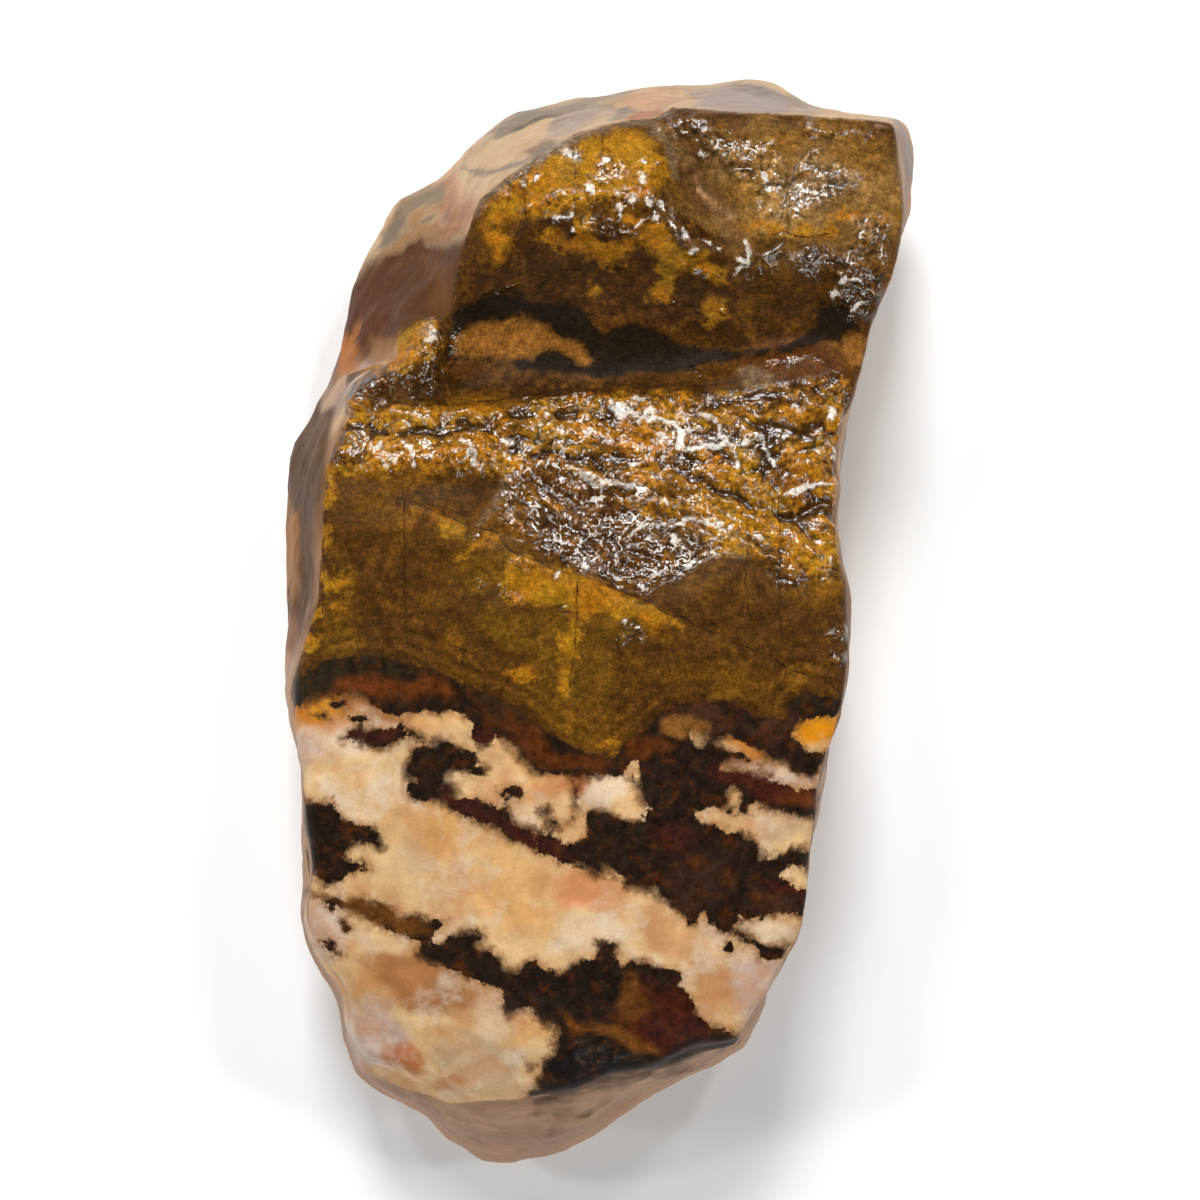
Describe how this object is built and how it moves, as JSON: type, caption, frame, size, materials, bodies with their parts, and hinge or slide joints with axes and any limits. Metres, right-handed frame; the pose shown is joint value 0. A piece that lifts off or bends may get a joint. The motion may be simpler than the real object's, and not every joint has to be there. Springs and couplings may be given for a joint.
{
  "type": "rough polychrome jasper slab",
  "caption": "Elongated rough slab of banded stone: a broken, undulating face with a domed boss beside a deep hollow, irregular sides and a flat sawn back to rest on.",
  "frame": {"origin": "on the flat sawn back, under the middle of the rock's length and width", "axes": "+Z out of the broken face, +Y along the length to the end with the domed boss, +X to the right of the broken face as the picture shows it"},
  "size_m": [0.0676, 0.118, 0.0335],
  "materials": {
    "jasper": "wet, glossy broken stone"
  },
  "bodies": {
    "root": {"jasper_slab": "jasper"}
  },
  "joints": []
}
